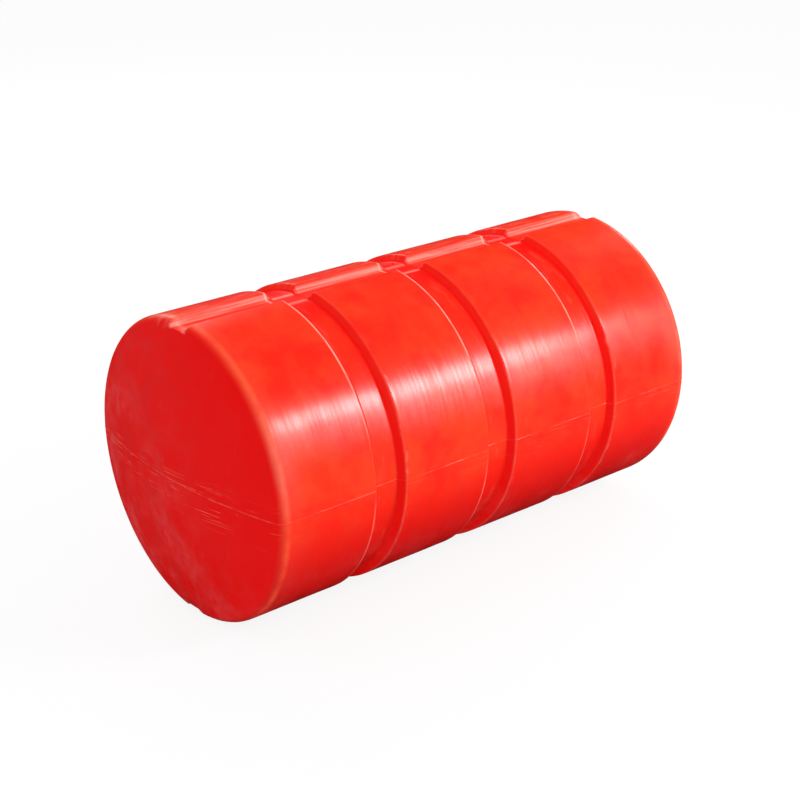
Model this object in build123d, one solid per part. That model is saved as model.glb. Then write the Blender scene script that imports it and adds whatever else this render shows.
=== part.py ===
from build123d import *
import os

# Foam-filled barrier buoy: one moulded float that lies on its side, long axis along X.
# The origin lies on the ground under the middle of the float. Lengths are millimetres.

# Drum
body_diameter = 500.0
body_length = 950.0            # from the crown of one domed end to the other
dome_radius = 950.0            # sphere of the shallow domed ends
rim_radius = 18.0              # rounding between drum and dome

# Strap grooves round the drum
groove_count = 3
groove_pitch = 233.0
groove_width = 60.0            # at the drum's surface
groove_floor_width = 43.0
groove_depth = 12.5
groove_lip_radius = 3.0        # rounding of the sections' edges
groove_root_radius = 5.0       # rounding where wall and floor meet

# Cable channels along the top and the underside
channel_width = 50.0           # at the height of the drum's crest
channel_floor_width = 34.0
channel_depth = 13.5           # from the drum's crest to the flat floor
channel_lip_radius = 5.0
channel_lip_rise = 0.02        # the lips' rounding starts this far outside the drum
channel_root_radius = 5.0

# Flash that the mould leaves where its two halves meet, level with the axis
flash_width = 2.4
flash_height = 0.9

body_radius = body_diameter / 2
groove_floor_radius = body_radius - groove_depth
channel_floor_height = body_radius - channel_depth


def tapered_slot(width, floor_width, depth, surface):
    """Section of a slot with sloping walls, open upwards, cut to a depth below the height surface."""
    slope = (width - floor_width) / 2 / depth
    clear = depth
    half_mouth = width / 2 + clear * slope
    floor = surface - depth
    corners = [
        (-half_mouth, surface + clear),
        (-floor_width / 2, floor),
        (floor_width / 2, floor),
        (half_mouth, surface + clear),
    ]
    return make_face(Polyline(*corners, close=True))


def corners_at(face, test):
    """Corners of a face whose centre passes the test."""
    return [corner for corner in face.vertices() if test(corner)]


def groove_places():
    """Places of the strap grooves along the axis, even about the middle."""
    first = -groove_pitch * (groove_count - 1) / 2
    return [first + groove_pitch * index for index in range(groove_count)]


def side_outline():
    """Lengthwise section of the float with its grooves, domes and rims, in the XY plane."""
    dome_centre = body_length / 2 - dome_radius
    blank = Rectangle(body_length, body_diameter)
    blank &= Pos(dome_centre, 0) * Circle(dome_radius)
    blank &= Pos(-dome_centre, 0) * Circle(dome_radius)
    blank = fillet(blank.vertices(), rim_radius)
    slot = tapered_slot(groove_width, groove_floor_width, groove_depth, body_radius)
    for place in groove_places():
        blank -= Pos(place, 0) * slot
        blank -= Pos(place, 0) * mirror(slot, about=Plane.XZ)
    reach = max(groove_places()) + groove_width
    roots = corners_at(blank, lambda v: abs(abs(v.Y) - groove_floor_radius) < 0.01 and abs(v.X) < reach)
    blank = fillet(roots, groove_root_radius)
    lips = corners_at(blank, lambda v: abs(abs(v.Y) - body_radius) < 0.01 and abs(v.X) < reach)
    return fillet(lips, groove_lip_radius)


def drum():
    """Grooved drum with domed ends, turned about its long axis."""
    upper_half = Pos(0, body_radius) * Rectangle(body_length * 2, body_diameter)
    return revolve(side_outline() & upper_half, axis=Axis.X)


def channelled_bar():
    """Bar as long as the float whose round section carries the two cable channels."""
    outer_radius = body_radius + channel_lip_rise
    section = Circle(outer_radius)
    slot = tapered_slot(channel_width, channel_floor_width, channel_depth, body_radius)
    section -= slot
    section -= mirror(slot, about=Plane.XZ)
    roots = corners_at(section, lambda v: abs(abs(v.Y) - channel_floor_height) < 0.01)
    section = fillet(roots, channel_root_radius)
    lips = corners_at(
        section, lambda v: abs(Vector(v.X, v.Y, 0).length - outer_radius) < 0.01 and abs(v.X) > 1
    )
    section = fillet(lips, channel_lip_radius)
    return extrude(Plane.YZ * section, body_length, both=True)


def mould_flash():
    """Thin fin that follows the whole lengthwise outline at the height of the axis."""
    return extrude(offset(side_outline(), flash_height), flash_width / 2, both=True)


def float_body():
    """The whole float, set down on the lips of its lower channel."""
    body = (drum() & channelled_bar()) + mould_flash()
    return Pos(0, 0, -body.bounding_box().min.Z) * body


os.makedirs("parts", exist_ok=True)
export_step(float_body(), "parts/float_body.step")
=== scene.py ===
"""Dresses the moulded barrier float: its red shell, the flash left by the mould and the studio round it."""

import logging
import math
from dataclasses import dataclass, field
from enum import Enum
from typing import Sequence, Union

import bpy
from mathutils import Matrix, Quaternion, Vector


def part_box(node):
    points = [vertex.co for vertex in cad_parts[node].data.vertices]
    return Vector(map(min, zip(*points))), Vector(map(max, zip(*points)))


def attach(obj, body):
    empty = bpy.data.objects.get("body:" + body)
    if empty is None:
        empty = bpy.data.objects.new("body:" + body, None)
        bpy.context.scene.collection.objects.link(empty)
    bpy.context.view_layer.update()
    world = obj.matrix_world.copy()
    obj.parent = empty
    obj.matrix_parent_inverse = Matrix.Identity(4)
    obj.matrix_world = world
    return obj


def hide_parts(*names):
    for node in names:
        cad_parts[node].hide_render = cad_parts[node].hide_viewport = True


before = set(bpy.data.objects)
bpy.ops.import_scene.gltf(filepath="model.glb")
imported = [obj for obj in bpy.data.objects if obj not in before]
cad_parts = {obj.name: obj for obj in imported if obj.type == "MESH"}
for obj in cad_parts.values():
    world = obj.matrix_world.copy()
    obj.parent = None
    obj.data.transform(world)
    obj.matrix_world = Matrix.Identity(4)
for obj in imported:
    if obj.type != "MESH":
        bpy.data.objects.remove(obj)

log = logging.getLogger("barrier_float")

MM = 0.001
CAD_NODE = "float_body"
BODY = "root"
LAMP_TURN = math.radians(-38.0)


class Wire:
    """An output socket of a node tree that adds a Math node for each operator it is used with."""

    def __init__(self, graph: "Graph", socket: bpy.types.NodeSocket) -> None:
        """Keeps the socket and the graph that it belongs to."""
        self.graph = graph
        self.socket = socket

    def __add__(self, other: "Number") -> "Wire":
        """self + other."""
        return self.graph.math("ADD", self, other)

    __radd__ = __add__

    def __sub__(self, other: "Number") -> "Wire":
        """self - other."""
        return self.graph.math("SUBTRACT", self, other)

    def __rsub__(self, other: "Number") -> "Wire":
        """other - self."""
        return self.graph.math("SUBTRACT", other, self)

    def __mul__(self, other: "Number") -> "Wire":
        """self * other."""
        return self.graph.math("MULTIPLY", self, other)

    __rmul__ = __mul__

    def __truediv__(self, other: "Number") -> "Wire":
        """self / other."""
        return self.graph.math("DIVIDE", self, other)

    def __rtruediv__(self, other: "Number") -> "Wire":
        """other / self."""
        return self.graph.math("DIVIDE", other, self)

    def __abs__(self) -> "Wire":
        """The size of self without its sign."""
        return self.graph.math("ABSOLUTE", self)

    def sign(self) -> "Wire":
        """-1, 0 or 1."""
        return self.graph.math("SIGN", self)

    def held(self, low: "Number", high: "Number") -> "Wire":
        """self, kept between low and high."""
        return self.graph.math("MINIMUM", self.graph.math("MAXIMUM", self, low), high)

    def ramp(self, start: "Number", end: "Number") -> "Wire":
        """0 at start and 1 at end, eased at both."""
        share = ((self - start) / (end - start)).held(0.0, 1.0)
        return share * share * (3.0 - 2.0 * share)

    def line(self, centre: "Number", half_width: "Number") -> "Wire":
        """1 where self equals centre, easing to 0 at half_width on either side."""
        return 1.0 - abs(self - centre).ramp(0.0, half_width)

    def between(self, low: float, high: float) -> "Wire":
        """low where self is 0 and high where it is 1."""
        return low + (high - low) * self


Number = Union[Wire, float, int]
Colour = tuple[float, float, float]
Span = tuple[float, float]


class Graph:
    """A node tree that is written as expressions."""

    def __init__(self, tree: bpy.types.NodeTree) -> None:
        """Keeps the tree to add nodes to."""
        self.tree = tree

    def node(self, kind: str, settings: dict | None = None, inputs: dict | None = None) -> bpy.types.Node:
        """Adds one node.

        Args:
            kind: The node's type.
            settings: Its own settings, set first.
            inputs: Values, wires or sockets for its inputs, by name or by number.

        Returns:
            The new node.
        """
        made = self.tree.nodes.new(kind)
        for name, value in (settings or {}).items():
            setattr(made, name, value)
        for key, value in (inputs or {}).items():
            self.feed(made.inputs[key], value)
        return made

    def feed(self, socket: bpy.types.NodeSocket, value: object) -> None:
        """Links a wire or a socket to a socket, or sets its value."""
        if isinstance(value, Wire):
            self.tree.links.new(value.socket, socket)
        elif isinstance(value, bpy.types.NodeSocket):
            self.tree.links.new(value, socket)
        else:
            socket.default_value = value

    def wire(
        self, kind: str, settings: dict | None = None, inputs: dict | None = None, out: Union[str, int] = 0
    ) -> Wire:
        """Adds one node and returns the wire of its output named or numbered out."""
        return Wire(self, self.node(kind, settings, inputs).outputs[out])

    def math(self, operation: str, *values: Number) -> Wire:
        """Adds one Math node on up to three values."""
        return self.wire("ShaderNodeMath", {"operation": operation}, dict(enumerate(values)))

    def vector(self, x: Number, y: Number, z: Number) -> Wire:
        """A vector of three numbers."""
        return self.wire("ShaderNodeCombineXYZ", None, {0: x, 1: y, 2: z})

    def parts(self, vector: Wire) -> tuple[Wire, Wire, Wire]:
        """The three numbers of a vector."""
        split = self.node("ShaderNodeSeparateXYZ", None, {0: vector})
        return Wire(self, split.outputs[0]), Wire(self, split.outputs[1]), Wire(self, split.outputs[2])

    def noise(self, place: Wire, scale: float, detail: float, roughness: float) -> Wire:
        """Soft noise between 0 and 1 at a place."""
        return self.wire(
            "ShaderNodeTexNoise",
            {"noise_dimensions": "3D"},
            {"Vector": place, "Scale": scale, "Detail": detail, "Roughness": roughness},
        )

    def mix(self, share: Number, first: object, second: object) -> Wire:
        """The colour first where share is 0 and second where it is 1."""
        return self.wire("ShaderNodeMix", {"data_type": "RGBA"}, {0: share, 6: first, 7: second}, out=2)


def shade(level: float) -> tuple[float, float, float, float]:
    """A grey of that level as a colour."""
    return (level, level, level, 1.0)


def stepped(index: Wire, stops: Sequence[Number], counts: Sequence[int]) -> Wire:
    """Spreads whole numbers over a row of stretches.

    Args:
        index: The whole number, from 0 up to the sum of counts.
        stops: The value at each end of each stretch, one more than there are counts.
        counts: How many even steps each stretch has.

    Returns:
        The value at index.
    """
    total: Number = stops[0]
    first = 0
    for low, high, count in zip(stops, stops[1:], counts):
        total = total + (index - first).held(0.0, count) * ((high - low) / count)
        first += count
    return total


@dataclass
class ShellSizes:
    """Sizes of the float in metres, as its CAD source has them, and how soft and uneven its shell is."""

    dome_radius: float = 950 * MM
    rim_radius: float = 18 * MM
    flash_height: float = 0.9 * MM
    flash_width: float = 2.4 * MM
    groove_pitch: float = 233 * MM
    groove_width: float = 60 * MM
    groove_floor_width: float = 43 * MM
    groove_depth: float = 12.5 * MM
    channel_width: float = 50 * MM
    channel_floor_width: float = 34 * MM
    channel_depth: float = 13.5 * MM
    lip_softness: float = 2.6 * MM
    root_softness: float = 2.6 * MM
    waviness: float = 0.9 * MM
    ripple: float = 0.45 * MM
    body_radius: float = field(init=False)
    half_length: float = field(init=False)
    axis_height: float = field(init=False)

    def __post_init__(self) -> None:
        """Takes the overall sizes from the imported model."""
        low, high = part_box(CAD_NODE)
        self.body_radius = (high.y - low.y) / 2 - self.flash_height
        self.half_length = (high.x - low.x) / 2 - self.flash_height
        self.axis_height = (high.z + low.z) / 2


class Density(Enum):
    """Steps of the shell's grid, along the float and round it."""

    DOME = 14
    RIM = 8
    LAND = 20
    GROOVE = 44
    FLASH = 10
    FLASH_SIDE = 12
    FLANK = 34
    CHANNEL = 48


@dataclass(frozen=True)
class Grain:
    """What one noise is made of.

    Attributes:
        scale: How fine it is, per metre.
        detail: How many finer layers it has.
        roughness: How strong those layers are.
        span: The levels at which its patches begin and at which they are full.
        stretch: The fineness along, across and up the float, where the noise is drawn out.
    """

    scale: float
    detail: float
    roughness: float
    span: Span = (0.0, 1.0)
    stretch: tuple[float, float, float] | None = None


class Noise(Enum):
    """The noises that vary the shell's form and its finish."""

    WAVES = Grain(5.0, 1.0, 0.40)
    RIPPLES = Grain(20.0, 1.0, 0.40)
    FLASH_EDGE = Grain(30.0, 3.0, 0.70, (0.30, 0.62))
    UNEVEN = Grain(28.0, 3.0, 0.60, (0.35, 0.62))
    CLOUDS = Grain(9.0, 4.0, 0.60, (0.42, 0.58))
    MOTTLE = Grain(24.0, 4.0, 0.60, (0.44, 0.60))
    STREAKS = Grain(1.0, 3.0, 0.65, (0.38, 0.62), (190.0, 9.0, 9.0))
    BANDS = Grain(1.0, 3.0, 0.55, (0.36, 0.60), (30.0, 9.0, 9.0))
    NICKS = Grain(1.0, 4.0, 0.65, (0.54, 0.66), (90.0, 22.0, 30.0))
    CORNER = Grain(42.0, 4.0, 0.65, (0.40, 0.60))
    SCUFF_PATCHES = Grain(11.0, 5.0, 0.62, (0.42, 0.68))
    SCUFF_GRAIN = Grain(60.0, 3.0, 0.60, (0.25, 0.65))
    SHEEN_LINES = Grain(1.0, 3.0, 0.60, (0.40, 0.60), (6.0, 420.0, 160.0))
    SHEEN_PATCHES = Grain(1.0, 4.0, 0.65, (0.46, 0.66), (22.0, 90.0, 20.0))
    LONG_SCRATCHES = Grain(1.0, 2.0, 0.50, (0.60, 0.66), (11.0, 3.0, 600.0))
    CROSS_SCRATCHES = Grain(1.0, 3.0, 0.60, (0.64, 0.76), (9.0, 520.0, 14.0))
    SCRATCH_PATCHES = Grain(16.0, 3.0, 0.60, (0.42, 0.56))
    FLASH_BREAKS = Grain(60.0, 4.0, 0.70, (0.36, 0.62))

    def level(self, graph: Graph, place: Wire) -> Wire:
        """The level of this noise at a place, between 0 and 1."""
        return graph.noise(place, self.value.scale, self.value.detail, self.value.roughness)

    def spread(self, level: Wire) -> Wire:
        """A level of this noise as patches: 0 below its span and 1 above it."""
        return level.ramp(*self.value.span)


class Surface:
    """What the finish reads at each place of the shell."""

    def __init__(self, graph: Graph, sizes: ShellSizes) -> None:
        """Adds the nodes that read the place.

        Args:
            graph: The material's tree.
            sizes: The float's sizes, which place its axis, ends and grooves.
        """
        self.graph = graph
        self.sizes = sizes
        self.place = graph.wire("ShaderNodeTexCoord", out="Object")
        self.x, self.y, self.z = graph.parts(self.place)
        self.height = self.z - sizes.axis_height
        self.inset = sizes.half_length - abs(self.x)
        nearest = graph.math("ROUND", self.x / sizes.groove_pitch).held(-1.0, 1.0)
        self.off = self.x - nearest * sizes.groove_pitch

    def level(self, noise: Noise) -> Wire:
        """The level of a noise here, between 0 and 1."""
        place = self.place
        if noise.value.stretch:
            along, across, up = noise.value.stretch
            place = self.graph.vector(self.x * along, self.y * across, self.height * up)
        return noise.level(self.graph, place)

    def patches(self, noise: Noise) -> Wire:
        """The patches of a noise here, from 0 to 1."""
        return noise.spread(self.level(noise))


@dataclass(frozen=True)
class FinishPlaces:
    """Where the finish and its painted light and shade change, in metres.

    Insets are counted from the crown of an end, and so are the lines of the rim and the fold. Heights are
    counted from the float's axis, and so are the lines of the highlight band and of the scratches. Levels are
    counted from the ground, sides from the middle, and the rest from the groove or channel wall that they
    belong to.
    A layer is absent at a span's first value and full at its second. A line is full at its first value
    and ends at the distance of its second. A tilt holds the factors on the places across and up whose
    sum the span after it counts, and a slant and a lean turn the scratches.
    """

    end_inset: Span = (38 * MM, 31 * MM)
    rim_highlight_line: Span = (44 * MM, 9 * MM)
    fold_line: Span = (43 * MM, 9 * MM)
    highlight_tail_inset: Span = (95 * MM, 48 * MM)
    highlight_band_line: Span = (90 * MM, 110 * MM)
    painted_light_height: Span = (-100 * MM, 20 * MM)
    top_shade_height: Span = (90 * MM, 210 * MM)
    low_height: Span = (-20 * MM, -130 * MM)
    floor_shade_height: Span = (80 * MM, 150 * MM)
    veil_tilt: Span = (0.75, -0.30)
    veil_span: Span = (-180 * MM, 100 * MM)
    corner_height: Span = (215 * MM, 240 * MM)
    corner_side: Span = (0.0, 20 * MM)
    dull_height: Span = (130 * MM, 200 * MM)
    top_height: Span = (225 * MM, 242 * MM)
    end_veil_tilt: Span = (0.75, -0.65)
    end_veil_span: Span = (-300 * MM, 120 * MM)
    scuff_level: Span = (190 * MM, 60 * MM)
    channel_edge: Span = (3 * MM, -2 * MM)
    crossing_shade_edge: Span = (80 * MM, 30 * MM)
    channel_height: Span = (210 * MM, 225 * MM)
    sheen_line: Span = (-3 * MM, 9 * MM)
    sheen_depth: Span = (-16 * MM, -13 * MM)
    sheen_height: Span = (225 * MM, 240 * MM)
    sheen_side: Span = (24 * MM, 34 * MM)
    scratch_line: Span = (-14 * MM, 50 * MM)
    scratch_slant: float = 40.0
    scratch_lean: float = 0.12
    lip_offset: float = 1 * MM
    near_lip_reach: float = 3.4 * MM
    far_lip_reach: float = 3 * MM
    nick_line: Span = (2 * MM, 7 * MM)
    lip_height: Span = (60 * MM, 150 * MM)
    lip_low_height: Span = (0.0, -60 * MM)
    far_lip_height: Span = (100 * MM, 170 * MM)
    nick_height: Span = (190 * MM, 140 * MM)
    wall_height: Span = (50 * MM, 160 * MM)
    wall_reach: Span = (5 * MM, 2 * MM)
    root_offset: float = 1 * MM
    root_reach: Span = (3.5 * MM, 1 * MM)
    floor_edge: Span = (3 * MM, -4 * MM)


@dataclass(frozen=True)
class FinishShares:
    """How strongly each layer of the finish and of its painted light and shade shows, at one strength or from
    one end of a span to the other.
    """

    top_shade: float = 0.2
    clouds: float = 0.55
    mottle: float = 0.4
    floors: Span = (0.15, 0.60)
    veil: Span = (0.25, 0.75)
    # painted highlight round the rims, broken by uneven patches
    rim: Span = (0.3, 0.9)
    # painted highlights along the groove lips
    lips: Span = (0.6, 1.2)
    # painted highlight on the fold and its tail
    fold: Span = (0.02, 0.16)
    fold_breaks: Span = (0.5, 1.0)
    tail: Span = (0.02, 0.11)
    nicks: float = 0.05
    flash: Span = (0.06, 0.32)
    flash_breaks: Span = (0.10, 1.0)
    corner: float = 0.40
    corner_side: Span = (0.15, 1.0)
    scratches: float = 0.45
    cross_scratches: float = 0.3
    scratches_on_end: Span = (0.18, 1.0)
    scuffs_and_veil: float = 0.01
    scuffs_low: float = 0.16
    veil_on_end: Span = (0.01, 0.43)
    channel: float = 0.9
    channel_floor: float = 0.25
    sheen: Span = (0.14, 0.69)
    sheen_top: float = 0.20
    wall_shade_above: Span = (1.0, 0.6)
    near_lip: float = 0.03
    near_lip_above: float = 0.70
    near_lip_below: float = 0.35
    far_lip: float = 0.09
    far_lip_above: float = 0.05
    far_lip_below: float = 0.08
    far_lip_nicks: float = 0.30


@dataclass(frozen=True)
class Polish:
    """What the layers do to the shell's roughness, gloss and relief."""

    roughness: float = 0.36
    streak_roughness: float = 0.10
    end_roughness: float = 0.08
    scuff_roughness: float = 0.6
    roughness_span: Span = (0.2, 0.8)
    gloss: float = 0.43
    streak_gloss: float = 0.34
    band_gloss: float = 0.22
    scuff_loss: float = 1.4
    end_loss: float = 0.8
    wall_loss: float = 0.8
    channel_loss: float = 0.9
    dull_loss: float = 0.35
    top_loss: float = 0.45
    gloss_roughness: float = 0.23
    specular: float = 0.05
    refraction: float = 1.5
    streak_relief: float = 0.10
    cloud_relief: float = 0.5
    scratch_relief: float = 0.6
    relief_strength: float = 0.15
    relief_depth: float = 0.6 * MM


@dataclass
class Masks:
    """Where the layers that several parts of the finish share lie, each from 0 to 1."""

    end: Wire
    uneven: Wire
    clouds: Wire
    streaks: Wire
    walls: Wire
    floors: Wire
    channel: Wire
    scuffs_and_veil: Wire
    scratches: Wire


@dataclass(frozen=True)
class ShellFinish:
    """Glossy red polyethylene: painted lit orange above, painted shade low down and on its ends, pale at its
    edges with painted highlights, scratches and nicks, scuffed low down, and a painted reflection veil on its
    ends.
    """

    # painted light: the lit orange of the upper flanks
    painted_light_red: Colour = (0.92, 0.037, 0.005)
    deep_red: Colour = (0.95, 0.010, 0.001)
    # painted shade: the red of the groove walls and roots and of the channel crossings
    recess_shade_red: Colour = (0.97, 0.003, 0.0005)
    # painted shade: the red of the ends
    end_shade_red: Colour = (0.93, 0.001, 0.0003)
    # painted shade: the darker red low down on the drum
    bottom_shade_red: Colour = (0.80, 0.003, 0.001)
    # painted reflection: a darker, bluer red veil down one side of each end
    veil_red: Colour = (0.82, 0.013, 0.014)
    # painted highlight: the lighter orange line round each rim
    rim_highlight_red: Colour = (1.0, 0.075, 0.020)
    # pale scuffing, which down one side of each end is a painted reflection veil
    scuff_and_veil: Colour = (0.80, 0.14, 0.15)
    # pale scratches, nicks and flash, and painted highlights on lips, fold and channel walls
    pale: Colour = (0.95, 0.38, 0.30)
    places: FinishPlaces = FinishPlaces()
    shares: FinishShares = FinishShares()
    polish: Polish = Polish()

    def material(self, sizes: ShellSizes) -> bpy.types.Material:
        """Builds the shell's material.

        Args:
            sizes: The float's sizes, which place the ends, grooves and flash line.

        Returns:
            The material.
        """
        made = bpy.data.materials.new("red_polyethylene")
        made.use_nodes = True
        made.node_tree.nodes.clear()
        graph = Graph(made.node_tree)
        at = Surface(graph, sizes)
        masks = self.masks(at)
        shader = graph.node(
            "ShaderNodeBsdfPrincipled",
            None,
            {
                "Base Color": self.colour(at, masks),
                "Roughness": self.roughness(masks),
                "Coat Weight": self.gloss(at, masks),
                "Normal": self.relief(at, masks),
                "IOR": self.polish.refraction,
                "Specular IOR Level": self.polish.specular,
                "Coat Roughness": self.polish.gloss_roughness,
            },
        )
        graph.node("ShaderNodeOutputMaterial", None, {"Surface": shader.outputs[0]})
        return made

    def masks(self, at: Surface) -> Masks:
        """Places the layers that several parts of the finish share."""
        end = at.inset.ramp(*self.places.end_inset)
        floors = self.floors(at)
        return Masks(
            end=end,
            uneven=at.patches(Noise.UNEVEN),
            clouds=at.level(Noise.CLOUDS),
            streaks=at.level(Noise.STREAKS),
            walls=self.walls(at),
            floors=floors,
            channel=self.channel(at, floors),
            scuffs_and_veil=self.scuffs_and_veil(at, end),
            scratches=self.scratches(at, end),
        )

    def colour(self, at: Surface, masks: Masks) -> Wire:
        """The reds, laid over each other, several of them painted light and shade, and the pale marks and
        painted highlights on top of them.
        """
        places, shares, height = self.places, self.shares, at.height
        mottle = at.patches(Noise.MOTTLE)
        # painted light: the upper flanks are painted a lit orange, held back near the top as painted shade
        painted_light = height.ramp(*places.painted_light_height) * (1.0 - height.ramp(*places.top_shade_height) * shares.top_shade)
        deep = Noise.CLOUDS.spread(masks.clouds) * shares.clouds + mottle * shares.mottle
        # painted shade on the groove floors, more of it up high
        shaded = masks.floors * height.ramp(*places.floor_shade_height).between(*shares.floors)
        # painted reflection: a veil down one side of each end
        across, up = places.veil_tilt
        veiled = (at.y * across + height * up).ramp(*places.veil_span) * mottle.between(*shares.veil)
        layers = (
            (painted_light, self.painted_light_red),
            (deep, self.deep_red),
            # painted shade: darker red low down on the drum
            (height.ramp(*places.low_height), self.bottom_shade_red),
            # painted shade on the groove floors
            (shaded, self.deep_red),
            # painted shade in the cable channels, fullest where the strap grooves cross them
            (masks.channel * shares.channel, self.recess_shade_red),
            # painted shade on the walls and roots of the strap grooves
            (masks.walls, self.recess_shade_red),
            # painted shade on the ends
            (masks.end, self.end_shade_red),
            # painted reflection veil on the ends
            (masks.end * veiled, self.veil_red),
            # painted highlight round each rim
            (at.inset.line(*places.rim_highlight_line) * masks.uneven.between(*shares.rim), self.rim_highlight_red),
            # pale scuffing, and a painted reflection veil on the ends
            (masks.scuffs_and_veil, self.scuff_and_veil),
            # pale marks, with painted highlights on lips, fold and channel walls
            (self.wear_and_highlights(at, masks), self.pale),
        )
        red: object = (*self.deep_red, 1.0)
        for share, colour in layers:
            red = at.graph.mix(share, red, (*colour, 1.0))
        return red

    def roughness(self, masks: Masks) -> Wire:
        """The roughness under the gloss."""
        polish = self.polish
        rough = polish.roughness + (masks.streaks - 0.5) * polish.streak_roughness
        rough = rough + masks.end * polish.end_roughness + masks.scuffs_and_veil * polish.scuff_roughness
        return rough.held(*polish.roughness_span)

    def gloss(self, at: Surface, masks: Masks) -> Wire:
        """The weight of the gloss, with its fine streaks and broad bands round the drum."""
        polish = self.polish
        gloss = polish.gloss + Noise.STREAKS.spread(masks.streaks) * polish.streak_gloss
        gloss = gloss + at.patches(Noise.BANDS) * polish.band_gloss - masks.scuffs_and_veil * polish.scuff_loss
        dull = at.height.ramp(*self.places.dull_height) * polish.dull_loss
        dull = dull + at.height.ramp(*self.places.top_height) * polish.top_loss
        gloss = gloss * (1.0 - masks.end * polish.end_loss) * (1.0 - masks.walls * polish.wall_loss)
        gloss = gloss * (1.0 - masks.channel * polish.channel_loss) * (1.0 - dull)
        return gloss.held(0.0, 1.0)

    def relief(self, at: Surface, masks: Masks) -> Wire:
        """The surface's direction, bent by streaks, clouds and scratches."""
        polish = self.polish
        depth = (masks.streaks - 0.5) * polish.streak_relief + masks.clouds * polish.cloud_relief
        depth = depth - masks.scratches * polish.scratch_relief
        inputs = {"Strength": polish.relief_strength, "Distance": polish.relief_depth, "Height": depth}
        return at.graph.wire("ShaderNodeBump", None, inputs, out="Normal")

    def wear_and_highlights(self, at: Surface, masks: Masks) -> Wire:
        """How pale the shell is at its lips, folds, scratches, channels, flash and upper corners: painted
        highlights on the lips, folds and channel walls, and pale scratches, nicks and flash.
        """
        shares = self.shares
        nicks = at.patches(Noise.NICKS)
        paleness = self.lips(at, nicks) * masks.uneven.between(*shares.lips) + self.fold(at, masks)
        paleness = paleness + masks.scratches * shares.scratches + nicks * masks.floors * shares.nicks
        paleness = paleness + self.sheen(at) * (1.0 - masks.walls)
        return paleness + self.flash(at) * masks.end.between(*shares.flash) + self.corner(at)

    def fold(self, at: Surface, masks: Masks) -> Wire:
        """Painted highlight on the fold between drum and end, and its tail on the drum, strongest above the
        flash line.
        """
        places, shares = self.places, self.shares
        highlight_band = at.height.line(*places.highlight_band_line)
        fold = at.inset.line(*places.fold_line) * highlight_band.between(*shares.fold)
        fold = fold * masks.uneven.between(*shares.fold_breaks)
        fold = fold + at.inset.ramp(*places.highlight_tail_inset) * highlight_band.between(*shares.tail)
        return fold * (1.0 - masks.end)

    def corner(self, at: Surface) -> Wire:
        """Broken pale patches on the fold beside the upper cable channel, most of them on the far side."""
        corner = at.inset.line(*self.places.fold_line) * at.height.ramp(*self.places.corner_height)
        corner = corner * at.y.ramp(*self.places.corner_side).between(*self.shares.corner_side)
        return corner * at.patches(Noise.CORNER) * self.shares.corner

    def scuffs_and_veil(self, at: Surface, end: Wire) -> Wire:
        """Dull pale clouds low down on the drum, and thicker ones down one side of each end, where they are a
        painted reflection veil.
        """
        shares = self.shares
        across, up = self.places.end_veil_tilt
        side = (at.y * across + at.z * up).ramp(*self.places.end_veil_span).between(*shares.veil_on_end)
        low = at.z.ramp(*self.places.scuff_level) * shares.scuffs_low
        strength = shares.scuffs_and_veil + low * (1.0 - end) + end * side
        return at.patches(Noise.SCUFF_PATCHES) * at.patches(Noise.SCUFF_GRAIN) * strength

    def channel(self, at: Surface, floors: Wire) -> Wire:
        """Where shade is painted in the cable channels: 1 where the strap grooves cross them, and less on the
        channels' own floors.
        """
        places = self.places
        outside = abs(at.y) - at.sizes.channel_floor_width / 2
        middle = outside.ramp(*places.channel_edge) * self.shares.channel_floor
        crossing = floors * outside.ramp(*places.crossing_shade_edge)
        return at.graph.math("MAXIMUM", middle, crossing) * abs(at.height).ramp(*places.channel_height)

    def sheen(self, at: Surface) -> Wire:
        """Painted highlight in lengthwise streaks on the walls of the cable channels, and painted sheen in
        patches on the top's far side.
        """
        places, shares, sizes = self.places, self.shares, at.sizes
        middle = (sizes.channel_width + sizes.channel_floor_width) / 4
        walls = (abs(at.y) - middle).line(*places.sheen_line)
        walls = walls * (abs(at.height) - sizes.body_radius).ramp(*places.sheen_depth)
        top = at.height.ramp(*places.sheen_height) * at.y.ramp(*places.sheen_side)
        lines = at.patches(Noise.SHEEN_LINES).between(*shares.sheen)
        return walls * lines + top * at.patches(Noise.SHEEN_PATCHES) * shares.sheen_top

    def scratches(self, at: Surface, end: Wire) -> Wire:
        """Hairline scratches: lengthwise ones close to the flash line, and fainter ones round the drum."""
        places, shares, graph = self.places, self.shares, at.graph
        run = at.x + at.y
        along, across, up = Noise.LONG_SCRATCHES.value.stretch
        drawn = graph.vector(run * along, at.height * up + run * places.scratch_slant, run * across)
        fine = Noise.LONG_SCRATCHES.spread(Noise.LONG_SCRATCHES.level(graph, drawn))
        leaning = at.y + at.height * places.scratch_lean
        along, across, up = Noise.CROSS_SCRATCHES.value.stretch
        drawn = graph.vector(leaning * across, at.height * up, at.x * along)
        cross = Noise.CROSS_SCRATCHES.spread(Noise.CROSS_SCRATCHES.level(graph, drawn))
        both = fine * at.height.line(*places.scratch_line) + cross * shares.cross_scratches
        return both * at.patches(Noise.SCRATCH_PATCHES) * end.between(*shares.scratches_on_end)

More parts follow.
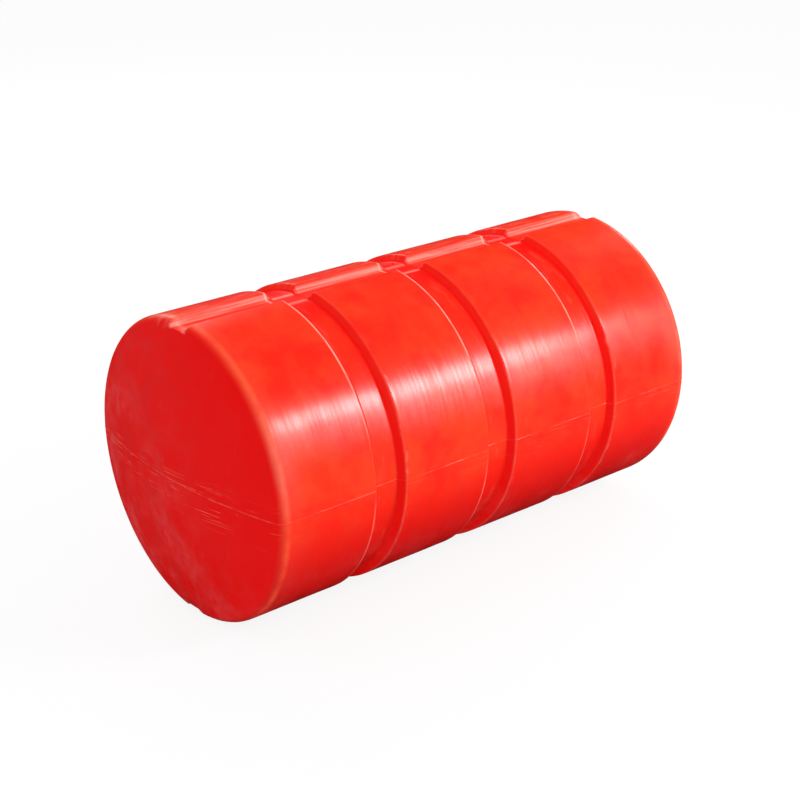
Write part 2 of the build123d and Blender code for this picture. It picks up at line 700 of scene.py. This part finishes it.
    def lips(self, at: Surface, nicks: Wire) -> Wire:
        """How strongly painted highlights line the two lips of each strap groove, by height, with nicks along
        the second.
        """
        places, shares, height = self.places, self.shares, at.height
        lip = at.sizes.groove_width / 2 + places.lip_offset
        low = height.ramp(*places.lip_low_height)
        near = shares.near_lip + height.ramp(*places.lip_height) * shares.near_lip_above
        near = near + low * shares.near_lip_below
        far = shares.far_lip - height.ramp(*places.far_lip_height) * shares.far_lip_above
        far = far + low * shares.far_lip_below
        chipped = nicks * height.ramp(*places.nick_height) * shares.far_lip_nicks
        paleness = at.off.line(-lip, places.near_lip_reach) * near + at.off.line(lip, places.far_lip_reach) * far
        return paleness + (at.off - lip).line(*places.nick_line) * chipped

    def walls(self, at: Surface) -> Wire:
        """Where shade is painted in the strap grooves: 1 on their walls and roots, less on the walls high up.
        """
        sizes, places = at.sizes, self.places
        off = abs(at.off)
        middle = (sizes.groove_width + sizes.groove_floor_width) / 4
        root = sizes.groove_floor_width / 2 + places.root_offset
        roots = abs(off - root).ramp(*places.root_reach)
        faces = abs(off - middle).ramp(*places.wall_reach)
        faces = faces * at.height.ramp(*places.wall_height).between(*self.shares.wall_shade_above)
        return at.graph.math("MAXIMUM", roots, faces)

    def floors(self, at: Surface) -> Wire:
        """1 on the floors of the strap grooves."""
        return (abs(at.off) - at.sizes.groove_floor_width / 2).ramp(*self.places.floor_edge)

    def flash(self, at: Surface) -> Wire:
        """How pale the mould's flash line is, in broken lengths."""
        line = abs(at.height).line(0.0, at.sizes.flash_width / 2)
        return line * at.patches(Noise.FLASH_BREAKS).between(*self.shares.flash_breaks)


class FloatShell:
    """The moulded shell: a drum with domed ends, strap grooves, cable channels and the mould's flash.

    Attributes:
        MARGIN: How far the dense grid reaches past the lips of a groove or a channel.
        FLASH_GRID: Half the width of the densest grid at the flash, in widths of the flash.
        FLASH_FADE: How many times wider the dense grid beside it is.
        FLASH_SLOPE: Where the flash is full and where it ends, in its widths from its middle.
        FLASH_RISE: The least and the most of its height that the flash has.
        WELD: How close points are joined.
    """

    MARGIN = 8 * MM
    FLASH_GRID = 0.75
    FLASH_FADE = 12.0
    FLASH_SLOPE: Span = (0.25, 0.65)
    FLASH_RISE: Span = (0.15, 0.65)
    WELD = 0.02 * MM

    def __init__(self, sizes: ShellSizes, finish: ShellFinish) -> None:
        """Keeps the sizes and the finish."""
        self.sizes = sizes
        self.finish = finish

    def settings(self) -> dict[str, float]:
        """The named sizes that the shell's rule takes."""
        sizes = self.sizes
        return {
            "Body Radius": sizes.body_radius,
            "Half Length": sizes.half_length,
            "Axis Height": sizes.axis_height,
            "Dome Radius": sizes.dome_radius,
            "Rim Radius": sizes.rim_radius,
            "Groove Pitch": sizes.groove_pitch,
            "Groove Width": sizes.groove_width,
            "Groove Floor Width": sizes.groove_floor_width,
            "Groove Depth": sizes.groove_depth,
            "Channel Width": sizes.channel_width,
            "Channel Floor Width": sizes.channel_floor_width,
            "Channel Depth": sizes.channel_depth,
            "Lip Softness": sizes.lip_softness,
            "Root Softness": sizes.root_softness,
            "Flash Width": sizes.flash_width,
            "Flash Height": sizes.flash_height,
            "Waviness": sizes.waviness,
            "Ripple": sizes.ripple,
        }

    def rule(self, material: bpy.types.Material) -> tuple[bpy.types.NodeTree, dict[str, str]]:
        """Builds the node tree that shapes the shell.

        Args:
            material: The finish of every face.

        Returns:
            The tree, and the identifier of each named size.
        """
        tree = bpy.data.node_groups.new("float_shell_rule", "GeometryNodeTree")
        tree.interface.new_socket("Geometry", in_out="OUTPUT", socket_type="NodeSocketGeometry")
        keys = {
            name: tree.interface.new_socket(name, in_out="INPUT", socket_type="NodeSocketFloat").identifier
            for name in self.settings()
        }
        graph = Graph(tree)
        source = graph.node("NodeGroupInput")
        size = {name: Wire(graph, source.outputs[name]) for name in keys}

        along_counts = self.along_counts()
        round_counts = self.round_counts()
        rows = sum(along_counts) + 1
        columns = sum(round_counts) + 1
        grid = graph.node("GeometryNodeMeshGrid", None, {"Vertices X": columns, "Vertices Y": rows})
        index = graph.wire("GeometryNodeInputIndex")
        column = graph.math("FLOOR", (index + 0.5) / rows)
        row = index - column * rows

        x, radius, lean = self.outline(graph, size, row, along_counts)
        angle = self.angle(graph, size, column, round_counts)
        radius = radius - self.groove(graph, size, x)
        across = graph.math("SINE", angle)
        upward = graph.math("COSINE", angle)

        here = graph.vector(x, across * radius, upward * radius)
        wobble = (Noise.WAVES.level(graph, here) - 0.5) * size["Waviness"]
        wobble = wobble + (Noise.RIPPLES.level(graph, here) - 0.5) * size["Ripple"]
        full, gone = (size["Flash Width"] * share for share in self.FLASH_SLOPE)
        beside = 1.0 - abs(upward * radius).ramp(full, gone)
        edge = Noise.FLASH_EDGE.level(graph, graph.vector(x, across * radius, 0.0))
        ragged = Noise.FLASH_EDGE.spread(edge).between(*self.FLASH_RISE)
        proud = wobble + beside * ragged * size["Flash Height"]
        x = x + proud * graph.math("SINE", lean)
        radius = radius + proud * graph.math("COSINE", lean)
        y = across * radius
        z = upward * radius
        reach = self.channel(graph, size, abs(y))
        z = z.sign() * graph.math("SMOOTH_MIN", abs(z), reach, size["Lip Softness"])
        place = graph.vector(x, y, z + size["Axis Height"])

        geometry = grid.outputs["Mesh"]
        for kind, inputs in (
            ("GeometryNodeSetPosition", {"Position": place}),
            ("GeometryNodeMergeByDistance", {"Distance": self.WELD}),
            ("GeometryNodeSetShadeSmooth", {}),
            ("GeometryNodeRealizeInstances", {}),
            ("GeometryNodeSetMaterial", {"Material": material}),
        ):
            geometry = graph.node(kind, None, {"Geometry": geometry, **inputs}).outputs[0]
        graph.node("NodeGroupOutput", None, {0: geometry})
        return tree, keys

    @staticmethod
    def along_counts() -> list[int]:
        """Steps of the grid from the crown of one end to the crown of the other."""
        stretches = (Density.DOME, Density.RIM, Density.LAND, Density.GROOVE, Density.LAND)
        half = [stretch.value for stretch in stretches]
        return [*half, Density.GROOVE.value, *reversed(half)]

    @staticmethod
    def round_counts() -> list[int]:
        """Steps of the grid round the float, from the underside's middle and back to it."""
        flash = [Density.FLASH_SIDE.value, Density.FLASH.value, Density.FLASH_SIDE.value]
        quarter = [Density.CHANNEL.value // 2, Density.FLANK.value]
        half = [*quarter, *flash, *reversed(quarter)]
        return [*half, *half]

    def outline(
        self, graph: Graph, size: dict[str, Wire], row: Wire, counts: list[int]
    ) -> tuple[Wire, Wire, Wire]:
        """Follows the lengthwise outline without its grooves.

        Args:
            graph: The tree to add nodes to.
            size: The named sizes.
            row: The grid's row.
            counts: The rows of each stretch.

        Returns:
            The place along the axis, the radius, and the angle by which the surface leans to the end.
        """
        radius, rim, dome = size["Body Radius"], size["Rim Radius"], size["Dome Radius"]
        inner = (radius - rim) / (dome - rim)
        dome_turn = graph.math("ARCSINE", inner)
        rim_turn = math.pi / 2 - dome_turn
        straight = size["Half Length"] - dome + (dome - rim) * graph.math("COSINE", dome_turn)
        rim_run = straight + rim * rim_turn
        crown = rim_run + dome * dome_turn
        reach = size["Groove Width"] * 0.5 + self.MARGIN
        pitch = size["Groove Pitch"]
        half = [crown, rim_run, straight, pitch + reach, pitch - reach, reach]
        path = stepped(row, [*(-1.0 * stop for stop in half), *reversed(half)], counts)
        run = abs(path)
        side = path.sign()
        rim_lean = (run - straight).held(0.0, rim * rim_turn) / rim
        dome_lean = (run - rim_run).held(0.0, dome * dome_turn) / dome
        left = dome_turn - dome_lean
        x = graph.math("MINIMUM", run, straight) + rim * graph.math("SINE", rim_lean)
        x = x + dome * (graph.math("COSINE", left) - graph.math("COSINE", dome_turn))
        out = radius - rim * (1.0 - graph.math("COSINE", rim_lean))
        out = out - dome * (inner - graph.math("SINE", left))
        return x * side, out, (rim_lean + dome_lean) * side

    def angle(self, graph: Graph, size: dict[str, Wire], column: Wire, counts: list[int]) -> Wire:
        """The angle round the axis of a column of the grid, from straight down."""
        channel = (size["Channel Width"] * 0.5 + self.MARGIN) / size["Body Radius"]
        flash = size["Flash Width"] * self.FLASH_GRID / size["Body Radius"]
        fade = self.FLASH_FADE * flash
        side = math.pi / 2
        beside = [side - fade, side - flash, side + flash, side + fade]
        half = [0.0, channel, *beside, math.pi - channel, math.pi]
        stops = [*(stop - math.pi for stop in half), *half[1:]]
        return stepped(column, stops, counts)

    @staticmethod
    def groove(graph: Graph, size: dict[str, Wire], x: Wire) -> Wire:
        """How deep the strap grooves are at a place along the axis, with soft lips and roots."""
        nearest = graph.math("ROUND", x / size["Groove Pitch"]).held(-1.0, 1.0)
        off = abs(x - nearest * size["Groove Pitch"])
        slope = size["Groove Depth"] / ((size["Groove Width"] - size["Groove Floor Width"]) * 0.5)
        wall = (size["Groove Width"] * 0.5 - off) * slope
        bottomed = graph.math("SMOOTH_MIN", wall, size["Groove Depth"], size["Root Softness"])
        return graph.math("SMOOTH_MAX", bottomed, 0.0, size["Lip Softness"])

    @staticmethod
    def channel(graph: Graph, size: dict[str, Wire], off: Wire) -> Wire:
        """How high above the axis the cable channel lets the surface reach, at a distance from its middle."""
        slope = size["Channel Depth"] / ((size["Channel Width"] - size["Channel Floor Width"]) * 0.5)
        wall = size["Body Radius"] + (off - size["Channel Width"] * 0.5) * slope
        floor = size["Body Radius"] - size["Channel Depth"]
        return graph.math("SMOOTH_MAX", wall, floor, size["Root Softness"])

    def build(self) -> bpy.types.Object:
        """Makes the shell as one plain mesh that stands for the CAD node.

        Returns:
            The shell's object.
        """
        material = self.finish.material(self.sizes)
        tree, keys = self.rule(material)
        shell = grown("float_shell", tree, keys, self.settings())
        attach(shell, BODY)
        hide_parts(CAD_NODE)
        return shell


def grown(
    name: str, tree: bpy.types.NodeTree, keys: dict[str, str], values: dict[str, float]
) -> bpy.types.Object:
    """Runs a geometry tree once and keeps its result as a plain mesh.

    Args:
        name: The new piece's name.
        tree: The geometry node tree.
        keys: The identifier of each named input.
        values: The value of each named input.

    Returns:
        The new object, at the origin, with no modifier.
    """
    piece = bpy.data.objects.new(name, bpy.data.meshes.new(name + "_seed"))
    bpy.context.scene.collection.objects.link(piece)
    modifier = piece.modifiers.new("rule", "NODES")
    modifier.node_group = tree
    for label, value in values.items():
        modifier[keys[label]] = value
    evaluated = piece.evaluated_get(bpy.context.evaluated_depsgraph_get())
    mesh = bpy.data.meshes.new_from_object(evaluated)
    piece.modifiers.remove(modifier)
    piece.data = mesh
    mesh.name = name
    return piece


@dataclass(frozen=True)
class Lamp:
    """One rectangular soft lamp that faces the float."""

    name: str
    aim: tuple[float, float, float]
    distance: float
    width: float
    height: float
    power: float
    turn: float = 0.0

    def build(self, centre: Vector) -> bpy.types.Object:
        """Adds the lamp.

        Args:
            centre: The point that it faces.

        Returns:
            The lamp's object.
        """
        data = bpy.data.lights.new(self.name, "AREA")
        data.shape = "RECTANGLE"
        data.size = self.width
        data.size_y = self.height
        data.energy = self.power
        made = bpy.data.objects.new(self.name, data)
        bpy.context.scene.collection.objects.link(made)
        back = Vector(self.aim).normalized()
        made.location = centre + back * self.distance
        made.rotation_mode = "QUATERNION"
        facing = back.to_track_quat("Z", "Y")
        made.rotation_quaternion = facing @ Quaternion((0.0, 0.0, 1.0), self.turn)
        return made


@dataclass
class Studio:
    """Pale floor, soft lamps and an even surrounding."""

    floor_half: float = 30.0
    floor_grey: float = 0.68
    gloss_grey: float = 0.02
    floor_white: float = 0.9
    floor_glow: float = 0.88
    fill_level: float = 0.86
    gloss_level: float = 0.03
    lamps: tuple[Lamp, ...] = (
        Lamp("band_lamp", (0.505, -0.697, 0.512), 3.0, 1.2, 0.46, 36.0, LAMP_TURN),
        Lamp("tail_lamp", (0.54, -0.74, 0.38), 3.1, 1.3, 0.85, 11.0, LAMP_TURN),
        Lamp("low_lamp", (0.58, -0.76, 0.22), 3.2, 1.3, 1.0, 5.0, LAMP_TURN),
        Lamp("edge_lamp", (0.86, 0.24, 0.40), 3.2, 0.8, 0.8, 12.0),
        Lamp("back_lamp", (0.20, 0.80, 0.56), 4.0, 2.0, 1.4, 44.0),
    )

    def floor(self) -> bpy.types.Object:
        """The floor: white to the camera, grey to everything that it lights."""
        mesh = bpy.data.meshes.new("studio_floor")
        half = self.floor_half
        square = [(-half, -half, 0.0), (half, -half, 0.0), (half, half, 0.0), (-half, half, 0.0)]
        mesh.from_pydata(square, [], [(0, 1, 2, 3)])
        made = bpy.data.objects.new("studio_floor", mesh)
        bpy.context.scene.collection.objects.link(made)
        material = bpy.data.materials.new("pale_floor")
        material.use_nodes = True
        material.node_tree.nodes.clear()
        graph = Graph(material.node_tree)
        path = graph.node("ShaderNodeLightPath")
        glossy = Wire(graph, path.outputs["Is Glossy Ray"])
        grey = graph.mix(glossy, shade(self.floor_grey), shade(self.gloss_grey))
        plain = graph.node("ShaderNodeBsdfDiffuse", None, {"Color": grey}).outputs[0]
        white = graph.node("ShaderNodeBsdfDiffuse", None, {"Color": shade(self.floor_white)}).outputs[0]
        glow = graph.node("ShaderNodeEmission", None, {"Color": shade(1.0), "Strength": 1.0}).outputs[0]
        seen = graph.node("ShaderNodeMixShader", None, {0: self.floor_glow, 1: white, 2: glow}).outputs[0]
        camera = path.outputs["Is Camera Ray"]
        both = graph.node("ShaderNodeMixShader", None, {0: camera, 1: plain, 2: seen})
        graph.node("ShaderNodeOutputMaterial", None, {"Surface": both.outputs[0]})
        mesh.materials.append(material)
        return made

    def world(self) -> None:
        """An even soft sky, white where the camera sees it and dim where the shell mirrors it."""
        world = bpy.data.worlds.new("studio")
        bpy.context.scene.world = world
        world.use_nodes = True
        world.node_tree.nodes.clear()
        graph = Graph(world.node_tree)
        path = graph.node("ShaderNodeLightPath")
        camera = Wire(graph, path.outputs["Is Camera Ray"])
        glossy = Wire(graph, path.outputs["Is Glossy Ray"])
        level = self.fill_level + camera * (1.0 - self.fill_level)
        level = level + glossy * (self.gloss_level - self.fill_level)
        sky = graph.node("ShaderNodeBackground", None, {"Color": shade(1.0), "Strength": level})
        graph.node("ShaderNodeOutputWorld", None, {"Surface": sky.outputs[0]})
        world.cycles.sampling_method = "NONE"

    def build(self, centre: Vector) -> None:
        """Sets up the floor, the surrounding and the lamps round a point."""
        self.floor()
        self.world()
        for lamp in self.lamps:
            lamp.build(centre)


@dataclass(frozen=True)
class PhotoCamera:
    """The photograph's viewpoint, worked out from the float's outline in it."""

    eye: tuple[float, float, float] = (-1.72527, -2.04643, 1.35503)
    aim: tuple[float, float, float] = (-0.00307, 0.00276, 0.24988)
    roll: float = math.radians(-0.434)
    lens: float = 75.91
    sensor: float = 36.0

    def build(self) -> bpy.types.Object:
        """Adds the camera and makes it the scene's own."""
        data = bpy.data.cameras.new("photo_camera")
        data.lens = self.lens
        data.sensor_width = self.sensor
        made = bpy.data.objects.new("photo_camera", data)
        bpy.context.scene.collection.objects.link(made)
        back = (Vector(self.eye) - Vector(self.aim)).normalized()
        level = Vector((0.0, 0.0, 1.0)).cross(back).normalized()
        rise = back.cross(level)
        right = level * math.cos(self.roll) + rise * math.sin(self.roll)
        up = back.cross(right)
        turn = Matrix((right, up, back)).transposed().to_4x4()
        made.matrix_world = Matrix.Translation(self.eye) @ turn
        bpy.context.scene.camera = made
        return made


def main() -> None:
    """Builds the float's shell, the studio and the camera, and reports the shell's faces."""
    logging.basicConfig(level=logging.INFO, format="%(message)s")
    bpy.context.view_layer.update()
    sizes = ShellSizes()
    shell = FloatShell(sizes, ShellFinish()).build()
    log.info("%s: %d faces", shell.name, len(shell.data.polygons))
    Studio().build(Vector((0.0, 0.0, sizes.axis_height)))
    PhotoCamera().build()
    bpy.context.scene.view_settings.view_transform = "Standard"
    bpy.context.view_layer.update()


if __name__ == "__main__":
    main()
